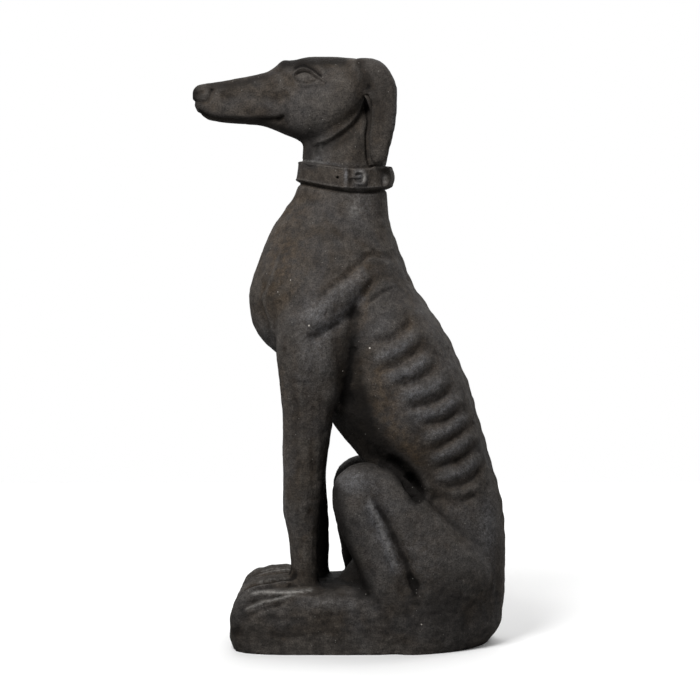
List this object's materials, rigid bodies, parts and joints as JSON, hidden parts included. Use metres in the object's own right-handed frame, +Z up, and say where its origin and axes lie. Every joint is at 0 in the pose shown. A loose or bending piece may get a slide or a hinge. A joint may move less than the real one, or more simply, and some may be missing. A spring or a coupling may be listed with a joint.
{
  "type": "greyhound statue",
  "caption": "Garden statue of a collared greyhound sitting upright, forelegs straight and paws on a low foot block, cast in one piece, with a flat underside to stand on.",
  "frame": {"origin": "on the ground, below the middle of the statue's length and width", "axes": "+Z up, the hound looks along -X, its left side faces -Y"},
  "size_m": [0.4084, 0.2198, 0.7603],
  "materials": {
    "stone": "matte"
  },
  "bodies": {
    "root": {"greyhound": "stone"}
  },
  "joints": []
}
